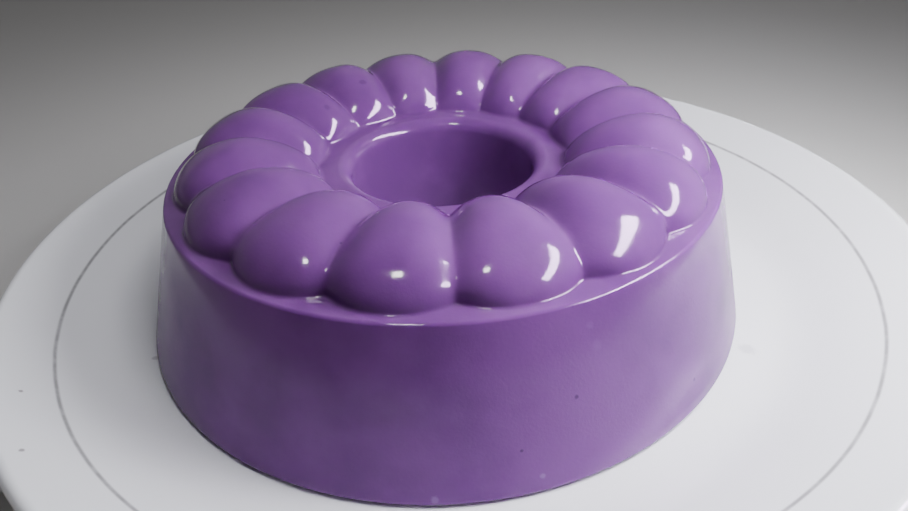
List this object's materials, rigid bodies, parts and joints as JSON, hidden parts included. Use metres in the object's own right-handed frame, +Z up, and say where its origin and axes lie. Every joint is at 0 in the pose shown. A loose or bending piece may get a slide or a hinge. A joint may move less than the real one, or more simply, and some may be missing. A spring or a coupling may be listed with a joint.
{
  "type": "sweet potato pudding on a plate",
  "caption": "Ring-shaped sweet potato pudding with a fluted top and a round hole in the middle, turned out onto a shallow round plate.",
  "frame": {"origin": "centre of the plate's foot, on the surface that the plate stands on", "axes": "+Z up; -Y is the side the picture looks from, +X to its right"},
  "size_m": [0.27, 0.27, 0.0626],
  "materials": {
    "purple_pudding": "moist, glossy and opaque, as set starch or agar pudding is",
    "white_glaze": "clear glossy glaze over white porcelain, with a thin grey ring line"
  },
  "bodies": {
    "root": {"pudding": "purple_pudding", "plate": "white_glaze"}
  },
  "joints": []
}
